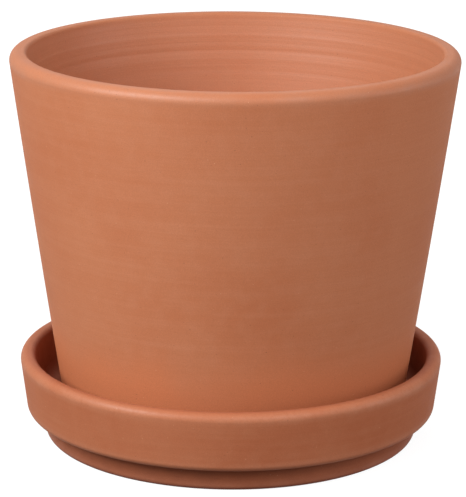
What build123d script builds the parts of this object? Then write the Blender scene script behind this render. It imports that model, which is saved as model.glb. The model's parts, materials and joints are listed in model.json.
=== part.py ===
"""A tapered clay plant pot standing in its own deep saucer.

The pot's axis is the Z axis and the table top is the plane Z = 0. Both pieces are turned forms with a
thick rounded lip. The saucer is a shallow bowl on a narrower foot, and the pot stands flat on the
bowl's floor, a little to one side of the middle. All sizes are in millimetres.
"""

import os

from build123d import *

# The pot
POT_HEIGHT = 213.2
POT_RIM_RADIUS = 135.0
POT_FOOT_RADIUS = 104.6
POT_BELLY = 0.4  # how far the wall swells out from a straight taper at half height
POT_WALL = 11.0
POT_FLOOR = 12.0
POT_CORNER = 14.0  # the round between the wall and the floor, inside
POT_LIP_OUTER = 4.6
POT_LIP_INNER = 2.4
POT_EDGE = 3.5  # the rounded bottom edge

# The pot's underside: a seat ring round a shallow recess, three drain channels and the drain hole
SEAT_WIDTH = 14.0
SEAT_RECESS = 3.0
DRAIN_RADIUS = 11.0
DRAIN_EDGE = 1.5
CHANNEL_COUNT = 3
CHANNEL_RADIUS = 16.0
CHANNEL_DEPTH = 2.2

# The saucer
RIM_GAP = 11.2  # between the pot's wall and the saucer's lip
SAUCER_WALL = 9.4
SAUCER_HEIGHT = 51.3
SAUCER_TAPER = 4.6  # how far the wall leans in from the rim to the bowl's lower corner
SAUCER_FLOOR = 8.8
SAUCER_CORNER = 8.0  # the round between the wall and the floor, inside
SAUCER_LIP_OUTER = 4.9
SAUCER_LIP_INNER = 3.4
BOWL_CORNER = 4.5  # the round under the bowl's outer edge
POT_OFF_CENTRE = 1.6  # how far the pot stands from the middle of its saucer

# The saucer's foot
FOOT_HEIGHT = 15.2
FOOT_INSET = 10.8  # from the bowl's lower corner in to the foot
FOOT_RING = 12.0
FOOT_DRAFT = 1.5  # how far the recess inside the foot narrows upwards
FOOT_EDGE = 3.8
FOOT_COVE = 2.5  # the hollow round where the foot meets the bowl

FLOOR_TOP = FOOT_HEIGHT + SAUCER_FLOOR


def pot_radius(height):
    """Outside radius of the pot's wall, at a height above its foot."""
    share = height / POT_HEIGHT
    straight = POT_FOOT_RADIUS + (POT_RIM_RADIUS - POT_FOOT_RADIUS) * share
    return straight + 4 * POT_BELLY * share * (1 - share)


def round_corners(section, corners):
    """Fillet a section's corners, given as (point, radius) pairs."""
    for point, radius in corners:
        fillet(section.vertices().sort_by_distance(point)[0], radius)


# The saucer's wall keeps a fixed gap to the pot at its rim
saucer_rim_radius = pot_radius(SAUCER_HEIGHT - FLOOR_TOP) + RIM_GAP + SAUCER_WALL
bowl_radius = saucer_rim_radius - SAUCER_TAPER
foot_radius = bowl_radius - FOOT_INSET
lean = SAUCER_TAPER / (SAUCER_HEIGHT - FOOT_HEIGHT)
floor_radius = bowl_radius + lean * SAUCER_FLOOR - SAUCER_WALL

saucer_foot_outer = (foot_radius, 0)
saucer_cove = (foot_radius, FOOT_HEIGHT)
saucer_bowl_edge = (bowl_radius, FOOT_HEIGHT)
saucer_lip_outer = (saucer_rim_radius, SAUCER_HEIGHT)
saucer_lip_inner = (saucer_rim_radius - SAUCER_WALL, SAUCER_HEIGHT)
saucer_floor_corner = (floor_radius, FLOOR_TOP)
saucer_recess_corner = (foot_radius - FOOT_RING - FOOT_DRAFT, FOOT_HEIGHT)
saucer_foot_inner = (foot_radius - FOOT_RING, 0)

saucer_axis = Axis((-POT_OFF_CENTRE, 0, 0), (0, 0, 1))
saucer_plane = Plane(origin=(-POT_OFF_CENTRE, 0, 0), x_dir=(1, 0, 0), z_dir=(0, -1, 0))

with BuildPart() as saucer:
    with BuildSketch(saucer_plane) as saucer_section:
        with BuildLine():
            Polyline(
                (0, FOOT_HEIGHT),
                saucer_recess_corner,
                saucer_foot_inner,
                saucer_foot_outer,
                saucer_cove,
                saucer_bowl_edge,
                saucer_lip_outer,
                saucer_lip_inner,
                saucer_floor_corner,
                (0, FLOOR_TOP),
                close=True,
            )
        make_face()
        round_corners(
            saucer_section,
            [
                (saucer_recess_corner, FOOT_COVE),
                (saucer_foot_inner, FOOT_EDGE / 2),
                (saucer_foot_outer, FOOT_EDGE),
                (saucer_cove, FOOT_COVE),
                (saucer_bowl_edge, BOWL_CORNER),
                (saucer_lip_outer, min(SAUCER_LIP_OUTER, 0.54 * SAUCER_WALL)),
                (saucer_lip_inner, min(SAUCER_LIP_INNER, 0.38 * SAUCER_WALL)),
                (saucer_floor_corner, SAUCER_CORNER),
            ],
        )
    revolve(axis=saucer_axis)

pot_foot_outer = (POT_FOOT_RADIUS, 0)
pot_lip_outer = (POT_RIM_RADIUS, POT_HEIGHT)
pot_lip_inner = (POT_RIM_RADIUS - POT_WALL, POT_HEIGHT)
pot_floor_corner = (pot_radius(POT_FLOOR) - POT_WALL, POT_FLOOR)
pot_recess_corner = (POT_FOOT_RADIUS - SEAT_WIDTH, SEAT_RECESS)
pot_seat_inner = (POT_FOOT_RADIUS - SEAT_WIDTH, 0)

pot_plane = Plane(origin=(0, 0, FLOOR_TOP), x_dir=(1, 0, 0), z_dir=(0, -1, 0))

with BuildPart() as pot:
    with BuildSketch(pot_plane) as pot_section:
        with BuildLine():
            Polyline(
                pot_floor_corner,
                (DRAIN_RADIUS, POT_FLOOR),
                (DRAIN_RADIUS, SEAT_RECESS),
                pot_recess_corner,
                pot_seat_inner,
                pot_foot_outer,
            )
            SagittaArc(pot_foot_outer, pot_lip_outer, -POT_BELLY)
            Line(pot_lip_outer, pot_lip_inner)
            SagittaArc(pot_floor_corner, pot_lip_inner, -POT_BELLY)
        make_face()
        round_corners(
            pot_section,
            [
                ((DRAIN_RADIUS, POT_FLOOR), DRAIN_EDGE),
                ((DRAIN_RADIUS, SEAT_RECESS), DRAIN_EDGE),
                (pot_recess_corner, SEAT_RECESS / 2),
                (pot_seat_inner, SEAT_RECESS / 3),
                (pot_foot_outer, POT_EDGE),
                (pot_lip_outer, min(POT_LIP_OUTER, 0.5 * POT_WALL)),
                (pot_lip_inner, min(POT_LIP_INNER, 0.3 * POT_WALL)),
                (pot_floor_corner, POT_CORNER),
            ],
        )
    revolve(axis=Axis.Z)

    # Shallow round-topped channels let water out from under the pot
    seat_middle = POT_FOOT_RADIUS - SEAT_WIDTH / 2
    with Locations((0, 0, FLOOR_TOP + CHANNEL_DEPTH - CHANNEL_RADIUS)):
        with PolarLocations(seat_middle, CHANNEL_COUNT):
            Cylinder(CHANNEL_RADIUS, 2 * SEAT_WIDTH, rotation=(0, 90, 0), mode=Mode.SUBTRACT)

# The pot rests on the saucer's floor, and slides straight up by half its height to clear the rim
seat_axis = Axis((0, 0, FLOOR_TOP), (0, 0, 1))
saucer_seat = LinearJoint("seat", saucer.part, axis=seat_axis, linear_range=(0, POT_HEIGHT / 2))
pot_foot = RigidJoint("foot", pot.part, Location(seat_axis.position))
saucer_seat.connect_to(pot_foot, position=0)

os.makedirs("parts", exist_ok=True)
saucer.part.label = "saucer"
pot.part.label = "pot"
export_step(saucer.part, "parts/saucer.step")
export_step(pot.part, "parts/pot.step")
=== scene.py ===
import json
import math
from collections import namedtuple

import bpy
import numpy as np
from mathutils import Matrix, Vector


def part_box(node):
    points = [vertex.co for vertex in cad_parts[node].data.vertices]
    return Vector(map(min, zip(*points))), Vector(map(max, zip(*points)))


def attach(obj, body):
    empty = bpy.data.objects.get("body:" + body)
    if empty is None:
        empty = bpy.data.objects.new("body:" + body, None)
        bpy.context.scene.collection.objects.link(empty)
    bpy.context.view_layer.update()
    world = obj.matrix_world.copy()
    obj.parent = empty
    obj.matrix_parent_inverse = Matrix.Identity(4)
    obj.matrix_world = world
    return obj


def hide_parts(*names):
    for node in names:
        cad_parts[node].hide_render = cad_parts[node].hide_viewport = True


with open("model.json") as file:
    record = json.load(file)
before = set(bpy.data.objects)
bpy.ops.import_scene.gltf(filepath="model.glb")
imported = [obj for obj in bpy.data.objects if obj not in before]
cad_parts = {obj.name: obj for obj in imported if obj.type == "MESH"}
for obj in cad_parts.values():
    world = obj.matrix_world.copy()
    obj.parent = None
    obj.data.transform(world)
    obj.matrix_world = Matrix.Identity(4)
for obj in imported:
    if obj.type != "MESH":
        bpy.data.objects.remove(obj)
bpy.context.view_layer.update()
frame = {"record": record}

MM = 0.001

# Where each piece stands, from the frame
saucer_low, saucer_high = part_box("saucer")
pot_low, pot_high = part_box("pot")
saucer_x = (saucer_low.x + saucer_high.x) / 2
saucer_height = saucer_high.z
floor_top = pot_low.z
pot_height = pot_high.z - pot_low.z
mounts = {mount["name"]: mount for mount in frame["record"]["mounts"]}
drain_radius = mounts["drain_hole"]["dims"]["r_mm"] * MM

# The pot's section
POT_RIM_RADIUS = 135.0 * MM
POT_FOOT_RADIUS = 104.6 * MM
POT_BELLY = 0.4 * MM
POT_WALL = 11.0 * MM
POT_FLOOR = 12.0 * MM
POT_CORNER = 14.0 * MM
POT_LIP_OUTER = 5.4 * MM
POT_LIP_INNER = 2.4 * MM
POT_EDGE = 3.5 * MM
SEAT_WIDTH = 14.0 * MM
SEAT_RECESS = 3.0 * MM
DRAIN_EDGE = 1.5 * MM
CHANNEL_COUNT = 3
CHANNEL_RADIUS = 16.0 * MM
CHANNEL_DEPTH = 2.2 * MM

# The saucer's section
RIM_GAP = 11.2 * MM
SAUCER_WALL = 9.4 * MM
SAUCER_TAPER = 4.6 * MM
SAUCER_CORNER = 8.0 * MM
SAUCER_LIP_OUTER = 4.4 * MM
SAUCER_LIP_INNER = 3.4 * MM
BOWL_CORNER = 4.5 * MM
FOOT_HEIGHT = 15.2 * MM
FOOT_INSET = 10.8 * MM
FOOT_RING = 12.0 * MM
FOOT_DRAFT = 1.5 * MM
FOOT_EDGE = 3.8 * MM
FOOT_COVE = 2.5 * MM


def pot_radius(height):
    """Outside radius of the pot's wall, at a height above its foot."""
    share = height / pot_height
    straight = POT_FOOT_RADIUS + (POT_RIM_RADIUS - POT_FOOT_RADIUS) * share
    return straight + 4 * POT_BELLY * share * (1 - share)


# ---------------------------------------------------------------- turned pieces

Corner = namedtuple("Corner", "radius height round step")

ROUND_STEP = 0.6 * MM  # between rows on a rounded corner
WALL_STEP = 3.0 * MM  # between rows on a smooth wall
RINGED_STEP = 1.8 * MM  # between rows where turning rings show
MARKED_STEP = 0.7 * MM  # between rows where single tool marks show
MARKED_FROM = 170.0 * MM  # how high up inside the pot the single tool marks start
COLUMNS = 256
EDGE_WIDTH = 1.6 * MM  # how far rubbing spreads from a rounded edge
EDGE_FULL = 4.0 * MM  # the round that counts as fully an edge
CHANNEL_CROWDING = 0.036  # how far columns are pulled towards the drain channels, in radians


def unit(arrow):
    return arrow / np.linalg.norm(arrow)


def corner_arc(before, corner, after):
    """One corner's round as points, and its bend: 1 / radius where it bulges, negative in a hollow."""
    place = np.array(corner[:2])
    back = unit(np.array(before[:2]) - place)
    ahead = unit(np.array(after[:2]) - place)
    half = math.acos(back @ ahead) / 2
    side = -1 if back[0] * ahead[1] > back[1] * ahead[0] else 1
    middle = place + unit(back + ahead) * corner.round / math.sin(half)
    start = place + back * corner.round / math.tan(half)
    sweep = side * (math.pi - 2 * half)
    count = max(4, math.ceil(abs(sweep) * corner.round / ROUND_STEP))
    turns = math.atan2(start[1] - middle[1], start[0] - middle[0]) + sweep * np.linspace(0, 1, count + 1)
    return middle + corner.round * np.column_stack([np.cos(turns), np.sin(turns)]), side / corner.round


def turned_outline(corners, closed):
    """A section with rounded corners, as rows of radius, height and bend."""
    arcs = []
    for index, corner in enumerate(corners):
        if corner.round:
            arcs.append(corner_arc(corners[index - 1], corner, corners[(index + 1) % len(corners)]))
        else:
            arcs.append((np.array([corner[:2]]), 0.0))
    rows = []
    for index, (arc, bend) in enumerate(arcs):
        rows.append(np.column_stack([arc, np.full(len(arc), bend)]))
        if index + 1 < len(corners) or closed:
            start, end = arc[-1], arcs[(index + 1) % len(arcs)][0][0]
            steps = max(1, math.ceil(np.linalg.norm(end - start) / corners[index].step))
            shares = np.linspace(0, 1, steps + 1)[1:-1, None]
            run = start + (end - start) * shares
            rows.append(np.column_stack([run, np.zeros(len(run))]))
    return np.vstack(rows)


def outline_normals(rows, closed):
    """Unit arrows out of the clay, for an outline that goes up the outside and down the inside."""
    if closed:
        along = np.roll(rows[:, :2], -1, axis=0) - np.roll(rows[:, :2], 1, axis=0)
    else:
        along = np.gradient(rows[:, :2], axis=0)
    along /= np.linalg.norm(along, axis=1)[:, None]
    return np.column_stack([along[:, 1], -along[:, 0]])


def run_length(rows):
    """Distance of each row along the outline from the first."""
    steps = np.linalg.norm(np.diff(rows[:, :2], axis=0), axis=1)
    return np.concatenate([[0], np.cumsum(steps)])


def spread(values, lengths, width):
    """Values smoothed along an outline by a bell of the given width."""
    weight = np.exp(-0.5 * ((lengths[:, None] - lengths[None, :]) / width) ** 2)
    weight *= np.gradient(lengths)[None, :]
    return (weight @ values) / weight.sum(axis=1)


def turned_piece(name, rows, closed, middle_x, relief, angles, shape=None):
    """A mesh turned round an upright axis, with its relief pushed out of the surface.

    It carries three masks for the finish: edge on the rounded edges that hands reach, hollow in the
    hollow corners, and inside on the vessel's inner wall and floor.
    """
    normals = outline_normals(rows, closed)
    lengths = run_length(rows)
    inside = inner_side(rows, normals, lengths)
    push = relief(rows, lengths, inside, angles)
    radius = rows[:, :1] + normals[:, :1] * push
    height = rows[:, 1:2] + normals[:, 1:] * push
    if shape:
        radius, height = shape(radius, height, angles)
    grid = np.stack([middle_x + radius * np.cos(angles), radius * np.sin(angles), height], axis=-1)
    bend = spread(rows[:, 2], lengths, EDGE_WIDTH)
    in_reach = np.clip(1 + 1.2 * normals[:, 1], 0, 1)  # hands don't rub the edges that face down
    marks = {
        "edge": np.clip(bend * EDGE_FULL, 0, 1) * in_reach,
        "hollow": np.clip(-bend * EDGE_FULL, 0, 1),
        "inside": inside,
    }

    # An open outline starts and ends on the axis, where its rows are single points
    first, last = (0, len(rows)) if closed else (1, len(rows) - 1)
    columns = len(angles)
    count = last - first
    vertices = grid[first:last].reshape(-1, 3)
    ring = np.arange(count if closed else count - 1)[:, None]
    column = np.arange(columns)[None, :]
    above = (ring + 1) % count
    right = (column + 1) % columns
    ring_start = ring * columns
    above_start = above * columns
    quads = [ring_start + column, ring_start + right, above_start + right, above_start + column]
    faces = np.stack(quads, axis=-1).reshape(-1, 4).tolist()
    if not closed:
        bottom = len(vertices)
        top = bottom + 1
        vertices = np.vstack([vertices, grid[0].mean(axis=0), grid[-1].mean(axis=0)])
        last_ring = (count - 1) * columns
        for place in range(columns):
            beside = (place + 1) % columns
            faces.append((beside, place, bottom))
            faces.append((last_ring + place, last_ring + beside, top))

    mesh = bpy.data.meshes.new(name)
    mesh.from_pydata(vertices.tolist(), [], faces)
    mesh.validate()
    mesh.shade_smooth()
    for label, mark in marks.items():
        amount = np.repeat(mark[first:last], columns)
        if not closed:
            amount = np.append(amount, [mark[0], mark[-1]])
        mesh.attributes.new(label, "FLOAT", "POINT").data.foreach_set("value", amount.astype(np.float32))
    piece = bpy.data.objects.new(name, mesh)
    bpy.context.scene.collection.objects.link(piece)
    return piece


# ---------------------------------------------------------------- relief of turned clay

INSIDE_RINGS = 0.07 * MM  # height of the turning rings inside
OUTSIDE_RINGS = 0.010 * MM
WOBBLE = 0.012 * MM  # how far the clay is from truly round
RING_WANDER = 0.6 * MM


def ring_noise(places, spacing, seed):
    """Smooth random rings along an outline: a random height at every spacing, eased between."""
    heights = np.random.default_rng(seed).uniform(-1, 1, 400)
    knots = places / spacing + 10
    whole = np.floor(knots).astype(int)
    share = knots - whole
    share = share * share * (3 - 2 * share)
    return heights[whole] * (1 - share) + heights[whole + 1] * share


def inner_side(rows, normals, lengths):
    """1 on the inner wall and floor of a vessel, eased to 0 over its lip."""
    faces_in = (normals[:, 0] < -0.3) | ((normals[:, 1] > 0.9) & (rows[:, 2] == 0))
    return spread(faces_in.astype(float), lengths, 3 * MM)


def clay_relief(seed, tool_marks=()):
    """Relief of a turned surface: rings that wander a little, a slight wobble, and tool marks inside.

    Each tool mark is a height on the inner wall, how far it stands out and how wide it is.
    """

    def relief(rows, lengths, inside, angles):
        wander = RING_WANDER * (np.sin(angles + seed) + 0.5 * np.sin(3 * angles + 2 * seed))
        along = lengths[:, None] + wander[None, :]
        rings = 0.45 * ring_noise(along, 5.5 * MM, seed) + 0.55 * ring_noise(along, 11.0 * MM, seed + 1)
        height = OUTSIDE_RINGS + (INSIDE_RINGS - OUTSIDE_RINGS) * inside[:, None]
        wobble = WOBBLE * (np.sin(2 * angles + 1.3 * seed) + 0.6 * np.sin(3 * angles + 0.4 * seed) - 1.6)
        push = height * (rings - 1) + wobble[None, :]
        for place, stand, width in tool_marks:
            off = (rows[:, 1:2] - place + 0.4 * wander[None, :]) / width
            push += stand * inside[:, None] * np.exp(-0.5 * off**2)
        return push

    return relief


def make_pot():
    seat_inner = POT_FOOT_RADIUS - SEAT_WIDTH
    floor_corner = pot_radius(POT_FLOOR) - POT_WALL
    lip_inner = POT_RIM_RADIUS - POT_WALL
    share = (MARKED_FROM - POT_FLOOR) / (pot_height - POT_FLOOR)
    marked_radius = floor_corner + (lip_inner - floor_corner) * share
    corners = [
        Corner(POT_FOOT_RADIUS, 0.0, POT_EDGE, WALL_STEP),
        Corner(POT_RIM_RADIUS, pot_height, POT_LIP_OUTER, ROUND_STEP),
        Corner(lip_inner, pot_height, POT_LIP_INNER, MARKED_STEP),
        Corner(marked_radius, MARKED_FROM, 0.0, RINGED_STEP),
        Corner(floor_corner, POT_FLOOR, POT_CORNER, RINGED_STEP),
        Corner(drain_radius, POT_FLOOR, DRAIN_EDGE, WALL_STEP),
        Corner(drain_radius, SEAT_RECESS, DRAIN_EDGE, WALL_STEP),
        Corner(seat_inner, SEAT_RECESS, SEAT_RECESS / 2, ROUND_STEP),
        Corner(seat_inner, 0.0, SEAT_RECESS / 3, RINGED_STEP),
    ]
    rows = turned_outline(corners, closed=True)
    # The wall bellies out a little between foot and lip
    share = rows[:, 1] / pot_height
    rows[:, 0] += 4 * POT_BELLY * share * (1 - share)

    # Columns stand closer together where the drain channels cross the seat
    even = np.linspace(0, 2 * math.pi, COLUMNS, endpoint=False)
    angles = even - CHANNEL_CROWDING * np.sin(CHANNEL_COUNT * even)
    spacing = 2 * math.pi / CHANNEL_COUNT

    def cut_channels(radius, height, angles):
        off_middle = (angles + spacing / 2) % spacing - spacing / 2
        across = radius * np.sin(off_middle)
        roof = CHANNEL_DEPTH - CHANNEL_RADIUS + np.sqrt(np.maximum(CHANNEL_RADIUS**2 - across**2, 0))
        on_seat = (radius > seat_inner - DRAIN_EDGE) & (height < CHANNEL_DEPTH)
        return radius, np.where(on_seat, np.maximum(height, roof), height) + floor_top

    marks = (
        (204.5 * MM, -0.05 * MM, 0.8 * MM),
        (198.5 * MM, 0.10 * MM, 0.9 * MM),
        (194.0 * MM, -0.06 * MM, 0.8 * MM),
        (189.0 * MM, -0.13 * MM, 1.1 * MM),
        (183.5 * MM, 0.06 * MM, 0.9 * MM),
        (176.0 * MM, -0.07 * MM, 1.0 * MM),
    )
    piece = turned_piece("pot_clay", rows, True, 0.0, clay_relief(3, marks), angles, cut_channels)
    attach(piece, "pot")
    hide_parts("pot")
    return piece


def make_saucer():
    rim = pot_radius(saucer_height - floor_top) + RIM_GAP + SAUCER_WALL
    bowl = rim - SAUCER_TAPER
    foot = bowl - FOOT_INSET
    lean = SAUCER_TAPER / (saucer_height - FOOT_HEIGHT)
    floor_corner = bowl + lean * (floor_top - FOOT_HEIGHT) - SAUCER_WALL
    corners = [
        Corner(0.0, FOOT_HEIGHT, 0.0, WALL_STEP),
        Corner(foot - FOOT_RING - FOOT_DRAFT, FOOT_HEIGHT, FOOT_COVE, WALL_STEP),
        Corner(foot - FOOT_RING, 0.0, FOOT_EDGE / 2, RINGED_STEP),
        Corner(foot, 0.0, FOOT_EDGE, RINGED_STEP),
        Corner(foot, FOOT_HEIGHT, FOOT_COVE, RINGED_STEP),
        Corner(bowl, FOOT_HEIGHT, BOWL_CORNER, WALL_STEP),
        Corner(rim, saucer_height, SAUCER_LIP_OUTER, ROUND_STEP),
        Corner(rim - SAUCER_WALL, saucer_height, SAUCER_LIP_INNER, RINGED_STEP),
        Corner(floor_corner, floor_top, SAUCER_CORNER, RINGED_STEP),
        Corner(0.0, floor_top, 0.0, RINGED_STEP),
    ]
    rows = turned_outline(corners, closed=False)
    angles = np.linspace(0, 2 * math.pi, COLUMNS, endpoint=False)
    piece = turned_piece("saucer_clay", rows, False, saucer_x, clay_relief(8), angles)
    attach(piece, "saucer")
    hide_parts("saucer")
    return piece


# ---------------------------------------------------------------- clay finish


def add_node(tree, kind, inputs=None, **settings):
    """A new shader node: settings are its own options, inputs are its sockets' values or links."""
    made = tree.nodes.new(kind)
    for option, value in settings.items():
        setattr(made, option, value)
    for socket, value in (inputs or {}).items():
        if isinstance(value, bpy.types.NodeSocket):
            tree.links.new(value, made.inputs[socket])
        else:
            made.inputs[socket].default_value = value
    return made


NUMBER = "NodeSocketFloat"
COLOUR = "NodeSocketColor"


def start_group(name, inputs, outputs):
    """A shader node group with named sockets: the group, its inputs' values and its output node."""
    group = bpy.data.node_groups.new(name, "ShaderNodeTree")
    for way, sockets in (("INPUT", inputs), ("OUTPUT", outputs)):
        for label, kind in sockets.items():
            group.interface.new_socket(label, in_out=way, socket_type=kind)
    return group, group.nodes.new("NodeGroupInput").outputs, group.nodes.new("NodeGroupOutput").inputs


def maths(tree, operation, first, second=0.0, third=0.0):
    return add_node(tree, "ShaderNodeMath", {0: first, 1: second, 2: third}, operation=operation).outputs[0]


def noise(tree, place, size, detail=2.0):
    """Soft random clouds of the given size in metres, from 0 to 1."""
    settings = {"Vector": place, "Scale": 1 / size, "Detail": detail}
    return add_node(tree, "ShaderNodeTexNoise", settings).outputs["Fac"]


def object_place(tree):
    """Each point's place on the object, in metres."""
    return add_node(tree, "ShaderNodeTexCoord").outputs["Object"]


def along_axis(tree, place, axis):
    """A place's X, Y or Z."""
    return add_node(tree, "ShaderNodeSeparateXYZ", {0: place}).outputs[axis]


def ramp(tree, value, low, high, start=0.0, end=1.0):
    """Eases from start to end while the value goes from low to high."""
    span = {"Value": value, "From Min": low, "From Max": high, "To Min": start, "To Max": end}
    return add_node(tree, "ShaderNodeMapRange", span, interpolation_type="SMOOTHSTEP").outputs["Result"]


def tinted(tree, share, below, above, blend="MIX"):
    """The colour below, with the colour above laid over it by a share."""
    mix = add_node(tree, "ShaderNodeMix", data_type="RGBA", blend_type=blend)
    for socket, value in ((0, share), (6, below), (7, above)):
        if isinstance(value, bpy.types.NodeSocket):
            tree.links.new(value, mix.inputs[socket])
        else:
            mix.inputs[socket].default_value = value
    return mix.outputs[2]


def dots(tree, place, spacing, largest):
    """Scattered round dots, one to a cell, each of a random size up to the largest."""
    cells = add_node(tree, "ShaderNodeTexVoronoi", {"Vector": place, "Scale": 1 / spacing})
    chance = add_node(tree, "ShaderNodeSeparateColor", {0: cells.outputs["Color"]}).outputs[0]
    radius = maths(tree, "MULTIPLY", maths(tree, "POWER", chance, 2.5), largest / spacing)
    return ramp(tree, cells.outputs["Distance"], maths(tree, "MULTIPLY", radius, 0.55), radius, 1.0, 0.0)


LINE_SPACING = 1.3 * MM
LINE_WAVER = 1.5 * MM  # how far the lines stray from level
LINE_LENGTH = 90 * MM  # how far round the piece a line runs before it fades
BAND_STRETCH = 0.32  # bands are broader than lines, by one over this


def turning_marks_group():
    """Fine lines left by turning: they run round the axis on walls, and in circles on floors."""
    group, given, out = start_group(
        "turning marks",
        {"Axis X": NUMBER, "Spacing": NUMBER, "Waver": NUMBER},
        {"Lines": NUMBER, "Bands": NUMBER},
    )
    place = object_place(group)
    off_x = maths(group, "SUBTRACT", along_axis(group, place, "X"), given["Axis X"])
    off_y = along_axis(group, place, "Y")
    flat = add_node(group, "ShaderNodeCombineXYZ", {"X": off_x, "Y": off_y}).outputs[0]
    radius = add_node(group, "ShaderNodeVectorMath", {0: flat}, operation="LENGTH").outputs["Value"]
    drift = maths(group, "MULTIPLY", noise(group, flat, 60 * MM, 1.0), given["Waver"])
    along = maths(group, "ADD", maths(group, "ADD", along_axis(group, place, "Z"), radius), drift)
    turns = maths(group, "DIVIDE", along, given["Spacing"])
    around_x = maths(group, "DIVIDE", off_x, LINE_LENGTH)
    around_y = maths(group, "DIVIDE", off_y, LINE_LENGTH)
    for label, stretch in (("Lines", 1.0), ("Bands", BAND_STRETCH)):
        height = maths(group, "MULTIPLY", turns, stretch)
        spot = add_node(group, "ShaderNodeCombineXYZ", {"X": around_x, "Y": around_y, "Z": height})
        group.links.new(noise(group, spot.outputs[0], 1.0, 3.0), out[label])
    return group


SAND_SIZE = 0.55 * MM


def clay_grain_group():
    """The clay's own body: fine sand, dark iron specks, pale lime specks and pinholes."""
    group, given, out = start_group(
        "clay grain",
        {"Sand Size": NUMBER},
        {"Sand": NUMBER, "Iron": NUMBER, "Lime": NUMBER, "Pinholes": NUMBER, "Height": NUMBER},
    )
    place = object_place(group)
    finer = maths(group, "DIVIDE", 1.0, given["Sand Size"])
    sand_noise = {"Vector": place, "Scale": finer, "Detail": 3.0, "Roughness": 0.6}
    sand = add_node(group, "ShaderNodeTexNoise", sand_noise).outputs["Fac"]
    iron = dots(group, place, 3.1 * MM, 0.42 * MM)
    lime = dots(group, place, 3.7 * MM, 0.42 * MM)
    pinholes = dots(group, place, 4.6 * MM, 0.36 * MM)
    grit = maths(group, "MULTIPLY", sand, 0.07 * MM)
    bumps = maths(group, "MULTIPLY", noise(group, place, 3.2 * MM, 2.0), 0.05 * MM)
    pits = maths(group, "MULTIPLY", pinholes, -0.16 * MM)
    height = maths(group, "ADD", maths(group, "ADD", grit, bumps), pits)
    results = {"Sand": sand, "Iron": iron, "Lime": lime, "Pinholes": pinholes, "Height": height}
    for label, value in results.items():
        group.links.new(value, out[label])
    return group


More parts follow.
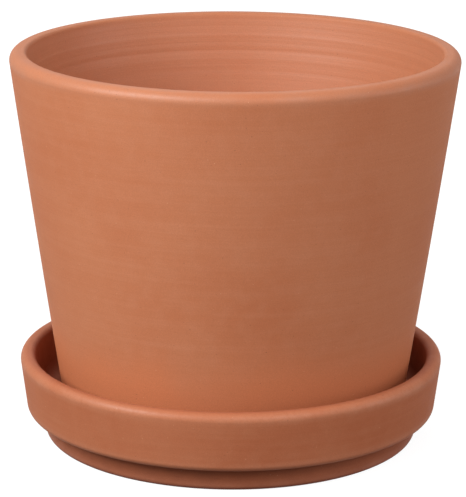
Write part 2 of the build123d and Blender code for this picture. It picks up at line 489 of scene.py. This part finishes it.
def fired_colour_group():
    """Fired clay's colour: flame blushes, clouds, turning lines, wear, damp stains and grain, with painted
    shade, a painted highlight and painted warm bounce light laid over it.

    Edge, Hollow and Inside are the piece's own masks. One amount sets how strongly a damp stain and
    painted shade darken the foot and the inside, and painted warm bounce light brightens the clay below
    a given height.
    """
    group, given, out = start_group(
        "fired colour",
        {
            "Clay": COLOUR,
            "Blush": COLOUR,
            "Pale": COLOUR,
            "Bounce Light": COLOUR,
            "Rubbed And Highlight": COLOUR,
            "Inside Shade": COLOUR,
            "Stain And Shade": COLOUR,
            "Edge": NUMBER,
            "Hollow": NUMBER,
            "Inside": NUMBER,
            "Damp And Shade": NUMBER,
            "Bounce Light Below": NUMBER,
            "Lines": NUMBER,
            "Bands": NUMBER,
            "Sand": NUMBER,
            "Iron": NUMBER,
            "Lime": NUMBER,
            "Pinholes": NUMBER,
        },
        {"Colour": COLOUR, "Wear And Highlight": NUMBER, "Clouds": NUMBER},
    )
    place = object_place(group)
    up = along_axis(group, place, "Z")
    flame = ramp(group, noise(group, place, 70 * MM, 1.5), 0.35, 0.70, 0.0, 0.7)
    clouds = noise(group, place, 9 * MM, 3.0)
    colour = tinted(group, flame, given["Clay"], given["Blush"])
    colour = tinted(group, ramp(group, clouds, 0.35, 0.75, 0.0, 0.28), colour, given["Pale"])
    colour = tinted(group, ramp(group, given["Bands"], 0.40, 0.65, 0.0, 0.16), colour, given["Pale"])
    colour = tinted(group, ramp(group, given["Lines"], 0.42, 0.62, 0.0, 0.14), colour, given["Blush"])
    # Painted warm bounce light brightens the clay towards the foot, up to an uneven line
    uneven = maths(group, "MULTIPLY_ADD", flame, -28 * MM, up)
    full = maths(group, "SUBTRACT", given["Bounce Light Below"], 42 * MM)
    bounce_light_share = ramp(group, uneven, full, given["Bounce Light Below"], 1.0, 0.0)
    colour = tinted(group, bounce_light_share, colour, given["Bounce Light"])
    # Painted shade darkens the inside, in mottled clouds
    inside_shade = maths(group, "MULTIPLY", given["Inside"], ramp(group, clouds, 0.25, 0.75, 0.35, 0.65))
    colour = tinted(group, inside_shade, colour, given["Inside Shade"])

    # Handling rubs the edges smooth and, on the pot, a little darker, in patches. On the saucer the
    # rubbed colour is paler, a painted highlight on its edges
    patches = ramp(group, noise(group, place, 22 * MM, 3.0), 0.30, 0.62, 0.55, 1.0)
    nicks = ramp(group, noise(group, place, 2.4 * MM, 2.0), 0.38, 0.50, 0.75, 1.0)
    handled = maths(group, "MULTIPLY_ADD", given["Inside"], -0.8, 1.0)
    rubbing = maths(group, "MULTIPLY", maths(group, "MULTIPLY", given["Edge"], handled), patches)
    wear_and_highlight = maths(group, "MULTIPLY", rubbing, nicks)
    colour = tinted(group, wear_and_highlight, colour, given["Rubbed And Highlight"])

    # Painted shade, partly a damp stain, darkens the foot and the inside, most of all low down
    # inside. Painted shade also darkens the hollow corners and the foot just above the table, but
    # not the ring it stands on
    foot_shade = ramp(group, up, 13 * MM, 18 * MM, 0.65, 0.0)
    low_inside_shade = maths(group, "MULTIPLY", given["Inside"], ramp(group, up, 27 * MM, 34 * MM, 1.0, 0.65))
    mottled = maths(group, "MULTIPLY", given["Damp And Shade"], ramp(group, clouds, 0.2, 0.8, 0.7, 1.0))
    stain_and_shade = maths(group, "MULTIPLY", maths(group, "MAXIMUM", foot_shade, low_inside_shade), mottled)
    off_table = ramp(group, up, 0.1 * MM, 0.6 * MM)
    contact_shade = maths(group, "MULTIPLY", off_table, ramp(group, up, 0.8 * MM, 4.0 * MM, 1.0, 0.0))
    hollow_and_contact_shade = maths(group, "MAXIMUM", maths(group, "MULTIPLY", given["Hollow"], 0.8), contact_shade)
    colour = tinted(group, maths(group, "MAXIMUM", hollow_and_contact_shade, stain_and_shade), colour, given["Stain And Shade"])

    sandy = ramp(group, given["Sand"], 0.30, 0.70, 0.94, 1.06)
    grey = add_node(group, "ShaderNodeCombineColor", {0: sandy, 1: sandy, 2: sandy}).outputs[0]
    colour = tinted(group, 1.0, colour, grey, "MULTIPLY")
    for label, share, speck in (
        ("Iron", 0.42, (0.13, 0.05, 0.03, 1)),
        ("Lime", 0.24, (0.78, 0.50, 0.33, 1)),
        ("Pinholes", 0.45, (0.16, 0.05, 0.025, 1)),
    ):
        colour = tinted(group, maths(group, "MULTIPLY", given[label], share), colour, speck)
    for label, value in (("Colour", colour), ("Wear And Highlight", wear_and_highlight), ("Clouds", clouds)):
        group.links.new(value, out[label])
    return group


turning_marks = turning_marks_group()
clay_grain = clay_grain_group()
fired_colour = fired_colour_group()


def clay_material(name, axis_x, damp_and_shade, bounce_light_below, shine, smoothness, colours):
    """Unglazed fired clay, turned about an upright axis at axis_x.

    Shine is how glossy handling has made its edges, and smoothness how glossy a wet hand left its
    inside. The colours are the clay's own, then where the flame reddened it, where it fired paler, the
    painted warm bounce light near the foot, where edges are rubbed or carry a paler painted highlight,
    the painted shade inside, and the damp stain and painted shade.
    """
    material = bpy.data.materials.new(name)
    material.use_nodes = True
    tree = material.node_tree
    shader = tree.nodes["Principled BSDF"]
    marks = add_node(
        tree,
        "ShaderNodeGroup",
        {"Axis X": axis_x, "Spacing": LINE_SPACING, "Waver": LINE_WAVER},
        node_tree=turning_marks,
    )
    grain = add_node(tree, "ShaderNodeGroup", {"Sand Size": SAND_SIZE}, node_tree=clay_grain)
    masks = {"Damp And Shade": damp_and_shade, "Bounce Light Below": bounce_light_below}
    for label in ("edge", "hollow", "inside"):
        masks[label.title()] = add_node(tree, "ShaderNodeAttribute", attribute_name=label).outputs["Fac"]
    lines = {label: marks.outputs[label] for label in ("Lines", "Bands")}
    specks = {label: grain.outputs[label] for label in ("Sand", "Iron", "Lime", "Pinholes")}
    finish = add_node(tree, "ShaderNodeGroup", colours | masks | lines | specks, node_tree=fired_colour)
    tree.links.new(finish.outputs["Colour"], shader.inputs["Base Color"])

    matt = ramp(tree, finish.outputs["Clouds"], 0.3, 0.7, 0.62, 0.70)
    matt = maths(tree, "MULTIPLY_ADD", grain.outputs["Sand"], 0.12, maths(tree, "SUBTRACT", matt, 0.06))
    tree.links.new(matt, shader.inputs["Roughness"])
    shader.inputs["Specular IOR Level"].default_value = 0.1
    rubbed_shine = maths(tree, "MULTIPLY", finish.outputs["Wear And Highlight"], shine)
    off_edge = maths(tree, "MULTIPLY_ADD", masks["Edge"], -1.0, 1.0)
    smoothed = maths(tree, "MULTIPLY", maths(tree, "MULTIPLY", masks["Inside"], off_edge), smoothness)
    tree.links.new(maths(tree, "ADD", smoothed, rubbed_shine), shader.inputs["Coat Weight"])
    shader.inputs["Coat Roughness"].default_value = 0.42
    shader.inputs["Coat IOR"].default_value = 2.2

    up = along_axis(tree, object_place(tree), "Z")
    ringed = maths(tree, "MULTIPLY", masks["Inside"], ramp(tree, up, 155 * MM, 200 * MM, 0.25, 1.0))
    line_depth = maths(tree, "MULTIPLY_ADD", ringed, 0.06 * MM, 0.04 * MM)
    band_depth = maths(tree, "MULTIPLY_ADD", ringed, 0.08 * MM, 0.05 * MM)
    lines_height = maths(tree, "MULTIPLY_ADD", marks.outputs["Lines"], line_depth, grain.outputs["Height"])
    height = maths(tree, "MULTIPLY_ADD", marks.outputs["Bands"], band_depth, lines_height)
    bump = add_node(tree, "ShaderNodeBump", {"Height": height, "Distance": 1.0, "Strength": 1.0})
    tree.links.new(bump.outputs["Normal"], shader.inputs["Normal"])
    return material


# ---------------------------------------------------------------- floor, light and camera

FLOOR_HALF = 3.0  # half the floor's side
FLOOR_GLOW = 0.92  # what the camera sees near the pot where no light falls, so the shadow stays faint
FLOOR_CATCH = 0.2  # how strongly the floor shows light and shadow to the camera
FLOOR_PAINT = 0.18  # how white the floor is to the light that bounces from it
FLOOR_FADE = (0.4, 1.4)  # between these distances from the origin the glow rises to full white
WORLD_LIGHT = 0.28  # strength of the light from all around
LAMP_DISTANCE = 1.6
LAMP_SIZE = 0.9
LAMPS_AIM_AT = 0.12  # height up the pot's axis
CAMERA_LENS = 181.6  # millimetres, like the sensor's width
SENSOR_WIDTH = 36
CAMERA_PLACE = (-0.000702, -1.469365, 0.515749)
CAMERA_TILT = 0.2669  # down from level, in radians
CAMERA_ROLL = 0.0061


def seen_directly(tree):
    """1 for what the camera, a reflection or glass sees, and 0 for light that bounces about."""
    path = add_node(tree, "ShaderNodeLightPath")
    seen = add_node(
        tree,
        "ShaderNodeMath",
        {0: path.outputs["Is Camera Ray"], 1: path.outputs["Is Glossy Ray"]},
        operation="MAXIMUM",
    )
    through = {0: seen.outputs[0], 1: path.outputs["Is Transmission Ray"]}
    return add_node(tree, "ShaderNodeMath", through, operation="MAXIMUM").outputs[0]


def make_floor():
    mesh = bpy.data.meshes.new("floor")
    corners = [(x * FLOOR_HALF, y * FLOOR_HALF, 0) for x, y in ((-1, -1), (1, -1), (1, 1), (-1, 1))]
    mesh.from_pydata(corners, [], [(0, 1, 2, 3)])
    floor = bpy.data.objects.new("floor", mesh)
    bpy.context.scene.collection.objects.link(floor)
    material = bpy.data.materials.new("white floor")
    material.use_nodes = True
    tree = material.node_tree
    tree.nodes.clear()
    seen = seen_directly(tree)
    paint = add_node(tree, "ShaderNodeBsdfDiffuse", {"Color": (FLOOR_PAINT, FLOOR_PAINT, FLOOR_PAINT, 1)})
    catch = add_node(tree, "ShaderNodeBsdfDiffuse", {"Color": (FLOOR_CATCH, FLOOR_CATCH, FLOOR_CATCH, 1)})
    far = add_node(tree, "ShaderNodeVectorMath", {0: object_place(tree)}, operation="LENGTH")
    strength = ramp(tree, far.outputs["Value"], *FLOOR_FADE, FLOOR_GLOW, 1.0)
    glow = add_node(tree, "ShaderNodeEmission", {"Strength": strength})
    white = add_node(tree, "ShaderNodeAddShader", {0: catch.outputs[0], 1: glow.outputs[0]})
    mixed = add_node(tree, "ShaderNodeMixShader", {0: seen, 1: paint.outputs[0], 2: white.outputs[0]})
    add_node(tree, "ShaderNodeOutputMaterial", {"Surface": mixed.outputs[0]})
    mesh.materials.append(material)


def make_world(strength):
    world = bpy.data.worlds.new("studio")
    bpy.context.scene.world = world
    world.use_nodes = True
    tree = world.node_tree
    tree.nodes.clear()
    seen = seen_directly(tree)
    soft = add_node(tree, "ShaderNodeBackground", {"Strength": strength})
    white = add_node(tree, "ShaderNodeBackground", {"Strength": 1.0})
    mixed = add_node(tree, "ShaderNodeMixShader", {0: seen, 1: soft.outputs[0], 2: white.outputs[0]})
    add_node(tree, "ShaderNodeOutputWorld", {"Surface": mixed.outputs[0]})


def softbox(name, azimuth, elevation, power, colour=(1, 1, 1)):
    """A square soft light aimed at the pot. Azimuth 0 is in front, positive to the right."""
    light = bpy.data.lights.new(name, "AREA")
    light.shape = "SQUARE"
    light.size = LAMP_SIZE
    light.energy = power
    light.color = colour
    lamp = bpy.data.objects.new(name, light)
    bpy.context.scene.collection.objects.link(lamp)
    turn = math.radians(azimuth)
    lift = math.radians(elevation)
    way = Vector((math.sin(turn) * math.cos(lift), -math.cos(turn) * math.cos(lift), math.sin(lift)))
    lamp.location = Vector((0, 0, LAMPS_AIM_AT)) + way * LAMP_DISTANCE
    lamp.rotation_euler = (-way).to_track_quat("-Z", "Y").to_euler()


def make_camera():
    camera = bpy.data.cameras.new("camera")
    camera.lens = CAMERA_LENS
    camera.sensor_width = SENSOR_WIDTH
    eye = bpy.data.objects.new("camera", camera)
    bpy.context.scene.collection.objects.link(eye)
    tilt = Matrix.Rotation(math.pi / 2 - CAMERA_TILT, 4, "X")
    roll = Matrix.Rotation(CAMERA_ROLL, 4, "Z")
    eye.matrix_world = Matrix.Translation(CAMERA_PLACE) @ tilt @ roll
    bpy.context.scene.camera = eye


pot = make_pot()
pot.data.materials.append(
    clay_material(
        "pot clay",
        axis_x=0.0,
        damp_and_shade=0.0,
        bounce_light_below=78 * MM,
        shine=0.30,
        smoothness=0.24,
        colours={
            "Clay": (0.530, 0.188, 0.092, 1),
            "Blush": (0.490, 0.155, 0.070, 1),
            "Pale": (0.570, 0.226, 0.123, 1),
            # painted warm bounce light near the foot
            "Bounce Light": (0.596, 0.192, 0.086, 1),
            "Rubbed And Highlight": (0.455, 0.166, 0.081, 1),
            # painted shade inside
            "Inside Shade": (0.474, 0.172, 0.085, 1),
            # painted shade in the hollow corners
            "Stain And Shade": (0.220, 0.063, 0.029, 1),
        },
    )
)
saucer = make_saucer()
saucer.data.materials.append(
    clay_material(
        "saucer clay",
        axis_x=saucer_x,
        damp_and_shade=0.85,
        bounce_light_below=-30 * MM,  # nowhere on the saucer
        shine=0.18,
        smoothness=0.0,
        colours={
            "Clay": (0.460, 0.147, 0.069, 1),
            "Blush": (0.420, 0.120, 0.052, 1),
            "Pale": (0.500, 0.184, 0.096, 1),
            "Bounce Light": (0.460, 0.147, 0.069, 1),
            # paler than the clay: a painted highlight on the rubbed edges
            "Rubbed And Highlight": (0.470, 0.166, 0.082, 1),
            # painted shade inside
            "Inside Shade": (0.420, 0.141, 0.068, 1),
            # damp stain and painted shade, low down, inside and in the hollows
            "Stain And Shade": (0.230, 0.056, 0.030, 1),
        },
    )
)
make_floor()
make_world(WORLD_LIGHT)
softbox("left", -60, 35, 20.2, (0.95, 1.0, 0.99))
softbox("front left", -30, 35, 9.0)
softbox("front right", 30, 35, 8.2, (1.0, 0.96, 0.94))
softbox("right", 82, 12, 5.6)
softbox("back", 180, 45, 3.8)
make_camera()
bpy.context.scene.view_settings.view_transform = "Standard"
